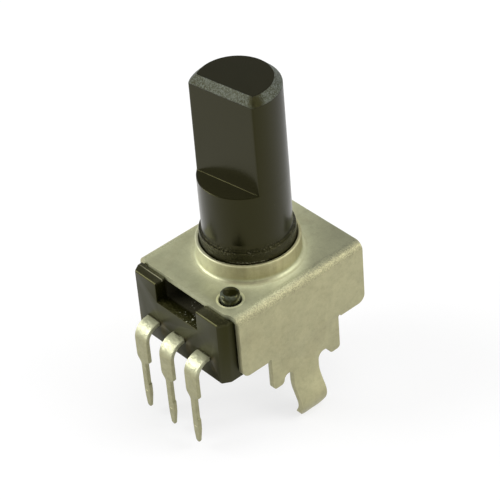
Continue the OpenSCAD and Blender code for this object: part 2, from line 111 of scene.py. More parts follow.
# %% Shader arithmetic
class Wire:
    """An output socket that can be added, multiplied and so on, with numbers or other wires."""

    def __init__(self, look, socket):
        self.look = look
        self.socket = socket

    def math(self, operation, *values, clamp=False):
        """A Math node on one or two values, each a wire or a number."""
        settings = {"operation": operation, "use_clamp": clamp}
        return self.look.node("Math", settings, dict(enumerate(values)))

    def __add__(self, other):
        return self.math("ADD", self, other)

    def __sub__(self, other):
        return self.math("SUBTRACT", self, other)

    def __rsub__(self, other):
        return self.math("SUBTRACT", other, self)

    def __mul__(self, other):
        return self.math("MULTIPLY", self, other)

    def __truediv__(self, other):
        return self.math("DIVIDE", self, other)

    def __pow__(self, other):
        return self.math("POWER", self, other)

    def __abs__(self):
        return self.math("ABSOLUTE", self)

    __radd__ = __add__
    __rmul__ = __mul__

    def clamped(self):
        """The same value, cut off below 0 and above 1."""
        return self.math("ADD", self, 0.0, clamp=True)

    def rise(self, low, high):
        """0 below low, 1 above high and a smooth step between. With low above high it falls."""
        return self.look.node("MapRange", {"interpolation_type": "SMOOTHSTEP"},
                              {"Value": self, "From Min": low, "From Max": high})

    def band(self, low, low_full, high_full, high):
        """1 from low_full to high_full, and a smooth fall to 0 at low and at high."""
        return self.rise(low, low_full) * self.rise(high, high_full)

    def repeated(self, shift, period):
        """What is left after whole periods, so that a mask made of it comes back each period."""
        return self.math("FLOORED_MODULO", self + shift, period)


class Look:
    """One material: its node tree, its main shader and the tools to fill them."""

    def __init__(self, name):
        self.material = bpy.data.materials.new(name)
        self.material.use_nodes = True
        self.tree = self.material.node_tree
        self.shader = self.tree.nodes["Principled BSDF"]
        self.place = self.node("TexCoord", out="Object")

    def node(self, kind, settings=None, inputs=None, out=0):
        """Adds a node of any kind: its settings first, then the values or links of its sockets."""
        made = self.tree.nodes.new("ShaderNode" + kind)
        for key, value in (settings or {}).items():
            setattr(made, key, value)
        for key, value in (inputs or {}).items():
            self.feed(made.inputs[key], value)
        return Wire(self, made.outputs[out])

    def feed(self, socket, value):
        """Links a wire to a socket, or sets a plain value on it."""
        if isinstance(value, Wire):
            self.tree.links.new(value.socket, socket)
        else:
            socket.default_value = value

    def set(self, **values):
        """Values or wires for the main shader, by socket name with _ for a space."""
        for key, value in values.items():
            self.feed(self.shader.inputs[key.replace("_", " ")], value)
        return self

    def axes(self):
        """The object's own X, Y and Z in millimetres, as three wires."""
        split = [self.node("SeparateXYZ", {}, {0: self.place}, out=axis) for axis in "XYZ"]
        return [wire / MM for wire in split]

    def scaled(self, x, y=None, z=None):
        """Object coordinates in units of x, y and z millimetres."""
        scale = tuple(1 / (size * MM) for size in (x, y or x, z or x))
        return self.node("Mapping", {}, {"Vector": self.place, "Scale": scale})

    def noise(self, size, detail=2.0, roughness=0.5, distortion=0.0):
        """Cloudy noise from 0 to 1. Size is the millimetres between blobs, or three of them."""
        sizes = size if isinstance(size, tuple) else (size,)
        return self.node("TexNoise", {}, {
            "Vector": self.scaled(*sizes), "Scale": 1.0, "Detail": detail,
            "Roughness": roughness, "Distortion": distortion})

    def specks(self, cell, size, share):
        """Round specks of size in a few of the cells, cell millimetres apart: 1 inside, 0 out."""
        inputs = {"Vector": self.scaled(cell), "Scale": 1.0}
        near = self.node("TexVoronoi", {}, inputs, out="Distance")
        chance = self.node("TexVoronoi", {}, inputs, out="Color")
        return near.rise(size / cell, 0.4 * size / cell) * chance.rise(1 - share, 1.001 - share)

    def mix(self, factor, a, b):
        """Two colours, or wires of colours, mixed by a factor."""
        colours = [c if isinstance(c, Wire) else (*c, 1) for c in (a, b)]
        return self.node("Mix", {"data_type": "RGBA"},
                         {0: factor, 6: colours[0], 7: colours[1]}, out=2)

    def painted(self, tone, *coats):
        """A tone with coats laid over it in turn, each a pair of a mask and a colour."""
        for mask, colour in coats:
            tone = self.mix(mask, tone, colour)
        return tone

    def bump(self, height, depth, under=None):
        """Bends the normal by a height from 0 to 1 that is depth millimetres tall."""
        sockets = {"Height": height, "Strength": 1.0, "Distance": depth * MM}
        if under is not None:
            sockets["Normal"] = under
        return self.node("Bump", {}, sockets)


def shade(colour, level):
    """A colour made lighter or darker by a factor."""
    return tuple(level * c for c in colour)


print("helpers ready:", Wire.__name__, Look.__name__)

# %% [markdown]
# The cover is steel sheet with a dull tin plating. The real one isn't one grey: it is cloudy,
# with a fine grain that sparkles where the sheet is bent, a few dark specks, and burnished
# edges round the peg's hole and the collar's mouth, lightened further as painted highlight. Some
# marks are painted light and shade: a painted highlight round the collar and on its wall's left
# side, and painted shade at the collar's foot and towards the plate's far corner and front edge.
# One noise over the whole cover could stand for that, but a stamping wears and stretches at its
# edges and bends. So each mark is painted by place: a mask from the object's own millimetres
# says where it is, and its tone is laid over the tone so far.

# %% Places on the object
PEG = (2.9, -4.25)
PITCH = 2.5
FRONT = (0.744, -0.668)
LEFT = (-0.628, -0.778)


def apart(x, y, point=(0.0, 0.0)):
    """How far a place lies from a point in plan: the root of the sum of both squares."""
    return ((x - point[0]) ** 2.0 + (y - point[1]) ** 2.0) ** 0.5


def along(x, y, direction):
    """How far a place lies along a direction in plan."""
    return direction[0] * x + direction[1] * y


print("peg at", PEG, "mm, terminals", PITCH, "mm apart")


# %% Plated sheet
def plated_sheet(name, plate, side, collar):
    """Plating with one tone for the plate, one for the flanges and one for the collar's wall."""
    look = Look(name)
    x, y, z = look.axes()
    reach, from_peg = apart(x, y), apart(x, y, PEG)

    # The patterns: the plating's clouds and mottle, the steel's grain, dirt, drawing marks.
    clouds = look.noise(1.6, detail=4.0, roughness=0.65, distortion=0.6)
    mottle = look.noise(0.32, detail=3.0, roughness=0.6)
    grain = look.noise(0.085, detail=2.0, roughness=0.7)
    dirt = look.noise(2.6, detail=3.0, distortion=0.4)
    streaks = look.noise((0.3, 0.3, 3.0), detail=2.0)

    # The places. The plate's top is at z 7.5, and the collar's wall stands on it at r 3.5.
    on_plate, on_top = z.rise(7.3, 7.4), z.rise(7.3, 7.45)
    bend = abs(x).rise(4.1, 4.5) * z.rise(6.8, 7.2)
    far_corner, near_edge = (x + y).rise(2.5, 8.0), y.rise(-3.4, -5.2)
    swell = ((4.9 - reach) / 1.2).clamped() ** 3.0 * on_top
    root = reach.band(3.66, 3.72, 3.80, 3.86) * on_plate
    foot = reach.band(3.50, 3.54, 3.64, 3.74) * z.band(7.3, 7.4, 7.65, 7.85)
    wall = z.rise(7.65, 7.9)
    front = (along(x, y, FRONT) / reach).rise(0.8, 0.97)
    lit_side = (along(x, y, LEFT) / reach).rise(0.2, 0.9)
    worn_and_highlit = (from_peg.rise(0.98, 0.90) * on_plate + z.rise(8.65, 8.82) * 0.15).clamped()

    tone = look.painted(
        look.mix(abs(x).rise(4.3, 4.8), plate, side),
        (swell * 0.6, shade(plate, 1.3)),  # painted highlight: the plate lighter round the collar, where it swells
        (wall, collar),
        (wall * streaks.rise(0.45, 0.62) * 0.25, (0.30, 0.255, 0.12)),  # drawing marks
        (root * clouds.rise(0.35, 0.6) * 0.25, (0.20, 0.16, 0.08)),  # painted shade in the corner beside the foot
        (wall * lit_side * 0.6, (0.60, 0.62, 0.46)),  # painted highlight on the wall's left side
        (foot * front * 0.7, (0.23, 0.205, 0.11)),  # painted shade on the foot's front
        (dirt.rise(0.5, 0.72) * 0.22, (0.33, 0.29, 0.16)))
    patchy_and_shaded = 0.92 + 0.18 * clouds.rise(0.25, 0.75) - 0.09 * mottle.rise(0.4, 0.75)
    patchy_and_shaded = patchy_and_shaded + (grain.rise(0.35, 0.65) - 0.5) * (0.06 + 0.45 * bend)
    # Painted shade: the plate's top darker towards its far corner and towards its front edge.
    patchy_and_shaded = patchy_and_shaded * (1 - (0.38 * far_corner + 0.17 * near_edge) * on_top)
    # Painted highlight and wear: the rims round the peg's hole and the collar's mouth are
    # lightened.
    tone = look.painted(
        look.node("VectorMath", {"operation": "SCALE"}, {0: tone, "Scale": patchy_and_shaded}),
        (worn_and_highlit * 0.85, shade(plate, 1.95)),
        (look.specks(1.1, 0.085, 0.16) * 0.8, shade(plate, 0.22)))

    rough = 0.38 + 0.14 * clouds + 0.08 * mottle - 0.16 * worn_and_highlit + 0.12 * root
    uneven = look.bump(grain, 0.005, look.bump(mottle, 0.011))
    look.set(Base_Color=tone, Metallic=0.62, Roughness=rough, IOR=1.5,
             Normal=look.bump(grain * bend, 0.042, look.bump(swell, 0.14, uneven)))
    return look.material


COVER = plated_sheet("cover_plating", (0.450, 0.456, 0.286), (0.440, 0.418, 0.243),
                     (0.475, 0.443, 0.243))
print("made", COVER.name)

# %% [markdown]
# The housing and the shaft are black moulded plastic. Black plastic is seen almost only by what
# it mirrors, so its roughness says more than its colour, and the specular tint gives its
# mirrored light the warm cast of the real one. The housing came out of an eroded mould and is
# dull. Grease has run over its window, its front wall's top and its peg, and there it is
# glossy, with glints painted on the drops.

# %% Housing plastic
def moulding(name, base, tint):
    """The housing: dull outside, glossy where grease has run in the window and on the peg."""
    look = Look(name)
    x, y, z = look.axes()
    grain = look.noise(0.12, detail=2.0)
    smears = look.noise(1.4, detail=4.0, distortion=0.8)
    drops = look.noise(0.16, detail=3.0, distortion=1.0)

    # The places: the window; the depth behind it, painted lighter as painted light; the front
    # wall's top, painted lighter in smears as painted light, with a painted highlight line along
    # its left end; the peg, with a painted highlight round its rim; and a brown smear beside each
    # terminal, painted shade and reflection where the wall mirrors it.
    high = z.band(5.6, 5.7, 7.2, 7.25)
    window = abs(x).rise(2.1, 2.0) * y.band(-6.5, -6.45, -4.0, -3.5) * high
    # Painted light: the depth behind the window is made lighter, as if lit through it.
    deep = abs(x).rise(3.4, 3.2) * y.band(-5.7, -5.5, -1.0, 0.0) * high
    lip = y.band(-6.5, -6.46, -5.54, -5.5) * z.rise(7.1, 7.2)
    # Painted highlight: a bright line along the left end of the front wall's top.
    lip_highlight = lip * abs(y + 5.88).rise(0.04, 0.015) * x.band(-5.2, -2.6, -0.1, 0.0)
    peg = z.rise(7.45, 7.5)
    # Painted highlight round the peg's rim.
    peg_edge = peg * apart(x, y, PEG).rise(0.42, 0.48) * smears.rise(0.4, 0.6)
    # Painted shade and reflection: a brown smear beside each terminal on the front wall.
    terminal_reflection = x.repeated(0.45, PITCH).band(0.95, 1.15, 1.4, 1.75) * z.band(2.9, 3.3, 4.0, 4.5)
    terminal_reflection = terminal_reflection * y.rise(-6.4, -6.45) * smears.rise(0.2, 0.6)
    wet = (window + lip * 0.6).clamped()
    greased = (window + peg + lip * 0.6).clamped()
    # Painted glints on the grease drops in the window's right half.
    glints = drops.rise(0.61, 0.68) * smears.rise(0.40, 0.58) * window * x.rise(-0.7, 0.4)

    # Painted light in the tone: the lighter depth, the brown reflections of the terminals, the
    # peg's rim, the lighter top of the front wall, its bright line and the window's glints.
    tone = look.painted(
        look.mix(smears, base, shade(base, 1.5)),
        (deep, (0.038, 0.036, 0.022)),
        (terminal_reflection, (0.05, 0.039, 0.02)),
        (peg_edge, (0.06, 0.07, 0.055)),
        (lip * (0.3 + 0.5 * smears.rise(0.45, 0.65)), (0.035, 0.034, 0.02)),
        (lip_highlight, (0.32, 0.31, 0.20)),
        (glints, (0.55, 0.56, 0.45)))
    rough = 0.40 * (0.8 + 0.4 * smears) + 0.3 * y.rise(-6.44, -6.47) * z.rise(7.2, 7.26)
    look.set(Base_Color=tone, Roughness=rough * (1 - greased) + 0.13 * greased, IOR=1.5,
             Metallic=terminal_reflection * 0.25, Specular_Tint=(*tint, 1), Specular_IOR_Level=0.34,
             Normal=look.bump(drops * wet, 0.035, look.bump(grain, 0.003)))
    return look.material


HOUSING = moulding("housing_plastic", (0.007, 0.007, 0.0015), (0.98, 0.94, 0.34))
print("made", HOUSING.name)

# %% [markdown]
# The shaft's plastic is smoother than the housing's, so it mirrors the room more sharply. Its
# chamfer is milled, which tears the plastic open and leaves it grey and grainy, and grease has
# crept up its journal. A second material for the chamfer would need its own faces, so one
# material tells the chamfer and the journal by their heights.

# %% Shaft plastic
def turned_plastic(name, base, tint):
    """The shaft: smooth, but milled and grainy on its chamfer and greased at its journal."""
    look = Look(name)
    x, y, z = look.axes()
    grain = look.noise(0.12, detail=2.0)
    fine = look.noise(0.1, detail=2.0, distortion=0.8)
    smears = look.noise(1.4, detail=4.0, distortion=0.8)
    grit = look.noise(0.11, detail=3.0, roughness=0.8)
    grease = look.noise(0.2, detail=3.0, distortion=1.2)

    # The places: the chamfer, left dark near one corner as painted shade; the rotor inside,
    # painted lighter as painted light; the greased journal; and painted glints on the grease round
    # it and on the bead of grease at the collar's front.
    cut = z.band(20.57, 20.61, 21.09, 21.099)
    # Painted shade: the milled chamfer is left dark near one corner.
    clear_of_corner_shade = apart(x, y, (2.70, -0.65)).rise(0.2, 0.75)
    # Painted light: the rotor inside is painted lighter than the shaft's black.
    rotor, greased = z.rise(7.1, 7.0), z.rise(10.2, 9.7)
    # Painted glints on the grease round the journal and on its bead at the collar's front.
    journal_glints = fine.rise(0.56, 0.66) * smears.rise(0.42, 0.6) * z.band(9.35, 9.5, 9.8, 10.15)
    at_front = along(x, y, FRONT).rise(2.85, 3.1)
    bead_glint = fine.rise(0.50, 0.60) * at_front * z.band(8.86, 8.90, 8.95, 9.02)
    milled = 0.10 + 0.15 * smears.rise(0.35, 0.6) + 0.9 * grit.rise(0.40, 0.66)

    tone = look.painted(
        look.mix(smears, base, shade(base, 1.5)),
        (rotor, (0.03, 0.028, 0.018)),
        ((journal_glints * 0.22 + bead_glint * 0.6).clamped(), (0.30, 0.29, 0.20)),
        (cut * milled * clear_of_corner_shade, (0.115, 0.133, 0.122)),
        (look.specks(0.8, 0.035, 0.15), (0.12, 0.12, 0.09)))
    rough = 0.20 * (0.8 + 0.4 * smears)
    rough = rough * (1 - cut) + 0.5 * cut - 0.06 * greased * (1 - cut)
    look.set(Base_Color=tone, Roughness=rough, IOR=1.5, Specular_Tint=(*tint, 1),
             Specular_IOR_Level=0.35,
             Normal=look.bump(grease * greased, 0.07,
                              look.bump(grit * cut, 0.045, look.bump(grain, 0.0025))))
    return look.material


SHAFT = turned_plastic("shaft_plastic", (0.0028, 0.0028, 0.0007), (0.99, 0.93, 0.38))
print("made", SHAFT.name)

# %% [markdown]
# The terminals are dipped in tin, which leaves them cloudy and a little lumpy. Real lumps would
# need a far finer mesh, so a bump map of the same clouds stands for them. The tin is painted paler
# on the bends as painted highlight, with a painted glint on the coined mark of each pin, and
# painted shade where it enters the housing.

# %% Tinned terminals
MARK_Z = -1.42


def dipped_tin(name, base, bend_highlight):
    """The terminals: cloudy tin with painted highlight above, painted shade at the wall and a
    painted glint on each pin's mark.
    """
    look = Look(name)
    x, y, z = look.axes()
    clouds = look.noise(0.42, detail=4.0, roughness=0.65, distortion=0.6)
    grain = look.noise(0.1, detail=2.0)
    across = abs(x.repeated(PITCH / 2, PITCH) - PITCH / 2)
    mark_glint = across.rise(0.14, 0.08) * abs(z - MARK_Z).rise(0.07, 0.04) * y.rise(-7.8, -7.84)
    # Painted shade where the strip enters the housing.
    gap = y.rise(-6.6, -6.55)
    tone = look.painted(
        look.mix(clouds.rise(0.3, 0.7), shade(base, 1.06), shade(base, 0.88)),
        (z.rise(3.0, 3.8) * (0.6 + 0.4 * clouds), bend_highlight),
        (mark_glint, shade(base, 1.7)),
        (gap * clouds.rise(0.4, 0.5), shade(base, 0.3)))
    look.set(Base_Color=tone, Metallic=0.7, Roughness=0.36 + 0.16 * clouds, IOR=1.5,
             Normal=look.bump(clouds, 0.07, look.bump(grain, 0.005)))
    return look.material


TINNED = dipped_tin("terminal_tin", (0.35, 0.336, 0.192), (0.52, 0.53, 0.36))
print("made", TINNED.name)

# %% [markdown]
# The pieces inside are seen through the window at most: plated rivets, a spring of bronze
# sheet, silver and carbon prints, and the brown laminate that carries them. One function makes
# the metals and one the matt finishes, because they differ in their numbers only.

# %% Inner finishes
def inner_metal(name, base, rough, wave, depth):
    """A metal with clouds, wave millimetres from one to the next and depth millimetres deep."""
    look = Look(name)
    clouds = look.noise(wave, detail=3.0, roughness=0.6, distortion=0.5)
    grain = look.noise(0.1, detail=2.0)
    tone = look.mix(clouds.rise(0.3, 0.7), base, shade(base, 0.84))
    look.set(Base_Color=tone, Metallic=1.0, Roughness=rough * (0.75 + 0.5 * clouds),
             Normal=look.bump(clouds, depth, look.bump(grain, 0.003)))
    return look.material


def matt(name, base, grain_mm, rough):
    """A matt finish with a faint grain, in its colour and its bump."""
    look = Look(name)
    grain = look.noise(grain_mm, detail=3.0)
    look.set(Base_Color=look.mix(grain, base, shade(base, 0.7)), Roughness=rough,
             Normal=look.bump(grain, 0.002))
    return look.material


RIVET = inner_metal("rivet_plating", (0.42, 0.40, 0.33), 0.35, 0.6, 0.004)
SPRING = inner_metal("spring_bronze", (0.45, 0.30, 0.12), 0.3, 0.8, 0.002)
SILVER = inner_metal("silver_print", (0.4, 0.4, 0.37), 0.5, 0.3, 0.002)
LAMINATE = matt("laminate", (0.2, 0.11, 0.035), 0.25, 0.6)
CARBON = matt("carbon_print", (0.012, 0.012, 0.013), 0.08, 0.5)
print("made", RIVET.name, SPRING.name, SILVER.name, LAMINATE.name, CARBON.name)

# %% [markdown]
# The inner pieces' solids already have the right shapes, so they keep their CAD meshes and only
# get a finish. The nodes that a skin will stand for get theirs here too, so that a copy of
# their mesh, or the solid itself, never shows bare.

# %% Dress the nodes
dress = {"cover": COVER, "housing": HOUSING, "shaft": SHAFT, "wiper": SPRING,
         "element_board": LAMINATE, "resistive_track": CARBON, "collector_track": SILVER,
         "electrode_left": SILVER, "electrode_right": SILVER}
for side_name in ("left", "centre", "right"):
    dress["terminal_" + side_name] = TINNED
    dress["rivet_" + side_name] = RIVET
for name, finish in dress.items():
    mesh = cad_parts[name].data
    mesh.materials.clear()
    mesh.materials.append(finish)
print("dressed", len(dress), "nodes")

# %% [markdown]
# A new piece is a skin: a grid of points, one closed ring after another, with a fan at each
# end. A cylinder or a box could be cut and bent into these shapes, but rings keep every edge
# where its formula puts it. All of them need the same few calls, so those come first. Normals
# are worked out again after the doubles are merged, so that every skin faces outwards.

# %% Skins
def skin(name, rings, body, replaced, finish):
    """A closed mesh over rings, an array of rings by points by XYZ in millimetres.

    Each face joins two neighbours on one ring to the same two on the next. Each end is closed
    by a fan about the mean of its ring.
    """
    count, around = rings.shape[:2]
    index = np.arange(count * around).reshape(count, around)
    a, b = index[:-1], index[1:]
    sides = np.stack([a, np.roll(a, -1, 1), np.roll(b, -1, 1), b], -1).reshape(-1, 4)
    points = np.vstack([rings.reshape(-1, 3), rings[0].mean(0), rings[-1].mean(0)])
    low, high = count * around, count * around + 1
    fans = [np.stack([np.roll(ring, -1), ring, np.full(around, centre)], -1)
            for ring, centre in ((index[0], low), (index[-1][::-1], high))]
    mesh = bpy.data.meshes.new(name)
    mesh.from_pydata((points * MM).tolist(), [], sides.tolist() + np.vstack(fans).tolist())
    shell = bmesh.new()
    shell.from_mesh(mesh)
    bmesh.ops.remove_doubles(shell, verts=shell.verts, dist=1e-4 * MM)
    bmesh.ops.recalc_face_normals(shell, faces=shell.faces)
    shell.to_mesh(mesh)
    shell.free()
    mesh.polygons.foreach_set("use_smooth", np.ones(len(mesh.polygons), bool))
    return piece(name, mesh, body, replaced, finish)


def piece(name, mesh, body, replaced, finish):
    """An object for a mesh, at the origin, riding on its body and standing for its nodes."""
    made = bpy.data.objects.new(name, mesh)
    bpy.context.scene.collection.objects.link(made)
    mesh.materials.clear()
    mesh.materials.append(finish)
    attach(made, body)
    if replaced:
        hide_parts(*replaced)
    return made


def arc_steps(n):
    """Angles of a quarter turn in n steps, as sine and cosine."""
    t = np.linspace(0, math.pi / 2, n + 1)
    return np.sin(t), np.cos(t)


print("skins ready")

# %% [markdown]
# The shaft is the piece that the eye goes to. As a solid it is a turned body with a flat cut
# off, and every edge of it is sharp. As a skin it is one polar surface: for each height there
# is a ring, and its radius is the smaller of the round's radius and the flat's distance, with
# the corner between them softened. The columns of the grid crowd round the flat's two corners,
# so the corner keeps its shape, and the moulding's draft is a slight taper instead of a step.

# %% Shaft
SHAFT_R, FLAT_OFF, DRAFT = 3.0, 1.5, 0.03
LEDGE_Z, TIP_Z, CHAMFER = 13.9, 21.1, 0.5
REST_TURN = math.radians(9)


def crowded(n, corner, spread):
    """n angles round the circle from the middle of the flat, crowded at plus and minus corner.

    The density of angles is one everywhere plus a bell nine high at each corner, and the angles
    are read off the running sum of that density at equal steps.
    """
    t = np.linspace(-math.pi, math.pi, 20001)
    bells = sum(np.exp(-((t - c) / spread) ** 2) for c in (-corner, corner))
    total = np.cumsum(1 + 9 * bells)
    steps = (np.arange(n) + 0.5) / n * (total[-1] - total[0]) + total[0]
    return np.interp(steps, total, t)


turn = crowded(288, math.acos(FLAT_OFF / SHAFT_R), 0.16)


def d_radius(round_r, flat_off, sharpness=70):
    """Radius of the D outline: a soft minimum of the round's radius and the flat's distance.

    Both are raised to the power of minus the sharpness and added, and the sum's root is taken,
    so the smaller one decides except close to the corner. Angles that never meet the flat get
    a flat far away.
    """
    flat = flat_off / np.maximum(np.cos(turn), 1e-3)
    flat = np.where(np.cos(turn) > 1e-3, flat, 1e3)
    low = np.minimum(round_r, flat)
    spread = (round_r / low) ** -sharpness + (flat / low) ** -sharpness
    return low * spread ** (-1 / sharpness)


def ring_of(radius, z):
    """One ring of points at a radius and a height, each a number or one value for each angle."""
    radius, z = np.broadcast_arrays(radius, z, turn)[:2]
    angle = turn - math.pi / 2 + REST_TURN
    return np.stack([radius * np.cos(angle), radius * np.sin(angle), z], -1)


print("angles:", len(turn), "corner at", round(math.degrees(math.acos(FLAT_OFF / SHAFT_R)), 1))


# %% Shaft, from the spigot to the ledge
def turned(points, soften=0.05, n=3):
    """A turned profile whose corners are cut back by soften and rounded in n steps.

    Each rounding is a parabola from the cut on one side to the cut on the other, drawn towards
    the corner.
    """
    points = np.array(points, float)
    path = [points[0]]
    for before, corner, after in zip(points, points[1:], points[2:]):
        sides = [before - corner, after - corner]
        start, end = (corner + side * min(soften / np.linalg.norm(side), 0.45) for side in sides)
        for s in np.linspace(0, 1, n + 1):
            path.append((1 - s) ** 2 * start + 2 * s * (1 - s) * corner + s * s * end)
    path.append(points[-1])
    return path


# From below: the spigot, the hub, the rotor's rim with the stop tooth, and the journal.
SPIGOT_R, HUB_R, RIM_R, JOURNAL_R = 1.2, 1.45, 3.5, 3.2
lower = [(0.6, 2.82), (SPIGOT_R, 2.82), (SPIGOT_R, 3.93), (HUB_R, 3.93), (HUB_R, 4.80),
         (RIM_R, 4.80)]
rings = [ring_of(r, z) for r, z in turned(lower)]

# The tooth's sides step up one column inside the solid's, so that the skin doesn't reach into
# the housing's stop at a limit. Its rows are heights and shares of its full size.
TOOTH_HALF, TOOTH_OUT = math.radians(14), 0.38
tooth = np.where(np.abs(turn) + np.diff(turn).max() < TOOTH_HALF, TOOTH_OUT, 0.0)
tooth_rows = [(4.85, 0), (5.58, 0), (5.60, 0), (5.61, 1), (5.66, 1), (6.95, 1), (6.99, 1),
              (7.0, 0.9)]
rings += [ring_of(RIM_R + tooth * share, z) for z, share in tooth_rows]
journal = [(3.4, 7.0), (JOURNAL_R, 7.0), (JOURNAL_R, 9.6), (3.17, 9.65), (SHAFT_R, 9.66),
           (SHAFT_R, 9.9), (SHAFT_R, 13.5)]
rings += [ring_of(r, z) for r, z in turned(journal, 0.06, 4)]
print("rings up to the ledge:", len(rings))

# %% Shaft, ledge and flat
# The ledge runs from the round to the flat. Its edge and its fillet fade out where it does.
EDGE, FILLET, FADE = 0.05, 0.07, 0.2
inner = d_radius(SHAFT_R, FLAT_OFF)
fade = np.clip((SHAFT_R - inner) / FADE, 0, 1)
edge, fillet = EDGE * fade, FILLET * fade
rings.append(ring_of(SHAFT_R, LEDGE_Z - EDGE - 0.01))
sines, cosines = arc_steps(5)
for s, c in zip(sines, cosines):
    rings.append(ring_of(SHAFT_R - edge * (1 - c), LEDGE_Z - EDGE + EDGE * s))
for share in (0.02, 0.3, 0.65, 0.98):
    rings.append(ring_of((SHAFT_R - edge) * (1 - share) + (inner + fillet) * share,
                         LEDGE_Z + 0.002 * share))
for s, c in zip(sines, cosines):
    rings.append(ring_of(inner + fillet * (1 - s), LEDGE_Z + 0.003 + FILLET * (1 - c)))

# Above the ledge the round tapers by the draft, and the chamfer cuts into round and flat.
top = TIP_Z - CHAMFER
for z in (LEDGE_Z + 0.09, LEDGE_Z + 0.6, 15.5, 17.2, 19.0, 20.2, top - 0.05, top - 0.025):
    drafted = SHAFT_R - DRAFT * (z - LEDGE_Z) / (top - LEDGE_Z)
    rings.append(ring_of(d_radius(drafted, FLAT_OFF), z))
for step in (0.012, 0.03, 0.06, 0.25, 0.44, 0.47, 0.488):
    rings.append(ring_of(d_radius(SHAFT_R - DRAFT - step, FLAT_OFF - step), top + step))

# The tip closes inwards, from an edge that is a little lower and so a little soft.
brow = d_radius(SHAFT_R - DRAFT - CHAMFER, FLAT_OFF - CHAMFER)
for share, drop in ((0.995, 0.003), (0.98, 0), (0.955, 0), (0.8, 0), (0.5, 0), (0.2, 0)):
    rings.append(ring_of(brow * share, TIP_Z - drop))
shaft = skin("shaft_skin", np.array(rings), "rotor", ["shaft"], SHAFT)
print("shaft:", len(shaft.data.polygons), "faces, tip at",
      round(max(v.co.z for v in shaft.data.vertices) / MM, 2), "mm")

# %% [markdown]
# Each terminal is a strip of sheet, bent once. We carry a rounded section along the strip's
# middle line and let the strip's left and right edges change with height: a taper on the left,
# a step on the right, a barbed pin and a point. An extruded outline with a bend modifier would
# keep square edges, but the dip has rounded the whole section, so the section is ours to draw.

# %% Terminal section and path
TERM_T, TERM_W = 0.3, 1.22
ROW_Y, TONGUE_Z, BEND_R = -7.7, 3.98, 1.05
RIVET_Y, RIVET_R, LOW_Z = -5.0, 0.37, -2.85
HALF = TERM_W / 2

# Each row holds a height and how far the strip reaches to that side of its middle there.
left_edge = np.array([(-2.85, 0.08), (-2.82, 0.13), (-2.73, 0.17), (-1.95, 0.25), (0.9, 0.25),
                      (1.06, 0.30), (1.4, 0.567), (1.6, HALF), (5, HALF)])
right_edge = np.array([(-2.85, 0.08), (-2.82, 0.13), (-2.73, 0.17), (-1.65, 0.33), (-0.8, 0.33),
                       (-0.7, 0.25), (1.05, 0.25), (1.12, 0.29), (1.22, 0.52), (1.36, HALF),
                       (5, HALF)])


def section(left, right, thick, radius, n=5):
    """Rounded rectangles as across and through values, one for each entry of left and right.

    Each corner is a quarter circle of n steps about a centre that lies radius in from both
    sides, and the flats are the straight steps from one quarter's end to the next one's start.
    """
    angles = np.radians(np.concatenate([np.linspace(q, q + 90, n + 1) for q in (0, 90, 180, 270)]))
    sign_x = np.repeat([1, -1, -1, 1], n + 1)
    sign_t = np.repeat([1, 1, -1, -1], n + 1)
    side = np.where(sign_x > 0, right[:, None], left[:, None])
    across = sign_x * (side - radius[:, None]) + radius[:, None] * np.cos(angles)
    through = sign_t * (thick[:, None] / 2 - radius[:, None]) + radius[:, None] * np.sin(angles)
    return across, through


heights = np.unique(np.concatenate([
    np.linspace(LOW_Z, -2.7, 7), np.linspace(-2.7, -1.6, 8), np.linspace(-1.62, -1.2, 15),
    np.linspace(-0.85, -0.65, 7), np.linspace(-0.6, 0.8, 6), np.linspace(0.85, 1.65, 25),
    np.linspace(1.7, TONGUE_Z - BEND_R, 6)]))
print("rows on the leg:", len(heights))


# %% Terminals
COIN, HAIR = 0.022, 0.02


def terminal(name, x):
    """The strip's middle line goes up the leg, round the bend and back along the tongue.

    On the leg a row lies at (row, z), on the bend at the centre plus the bend's radius times
    (-cos, sin), and on the tongue at (y, tongue height). Through the sheet points outwards.
    The mark on the pin is a bell over height and width that lifts the outer face by COIN. The
    last row lies on the rivet's circle, so that the tongue ends as a fork, a hair short of the
    eye's rear half.
    """
    swing = np.linspace(0, math.pi / 2, 21)[1:-1]
    flat_y = np.array([ROW_Y + BEND_R, -6.5, -6.0, -5.6, -5.42])
    leg, tongue = np.ones(len(heights)), np.ones(len(flat_y))
    y = np.concatenate([ROW_Y * leg, ROW_Y + BEND_R * (1 - np.cos(swing)), flat_y])
    z = np.concatenate([heights, TONGUE_Z - BEND_R * (1 - np.sin(swing)), TONGUE_Z * tongue])
    out_y = np.concatenate([-leg, -np.cos(swing), 0 * tongue])
    out_z = np.concatenate([0 * leg, np.sin(swing), tongue])
    left, right = (np.interp(z, *e.T) for e in (left_edge, right_edge))
    thick = TERM_T * np.interp(z, [LOW_Z, -2.7, -1.5, -1.25], [0.5, 0.72, 0.92, 1.0])
    radius = np.minimum(0.2 * thick, 0.6 * np.minimum(left, right))
    across, through = section(left, right, thick, radius)
    coin = COIN * np.exp(-((z[:, None] - MARK_Z) / 0.05) ** 2 - (across / 0.12) ** 2)
    through = through + np.where(through > 0, coin, 0)
    rows = np.stack([x + across, y[:, None] + through * out_y[:, None],
                     z[:, None] + through * out_z[:, None]], -1)
    fork = rows[-1:].copy()
    hole = np.sqrt(np.maximum(RIVET_R ** 2 - (fork[..., 0] - x) ** 2, 0))
    fork[..., 1] = RIVET_Y - HAIR - hole
    rows = np.concatenate([rows, fork])
    return skin(name, rows, "case", ["terminal_" + name.split("_")[1]], TINNED)


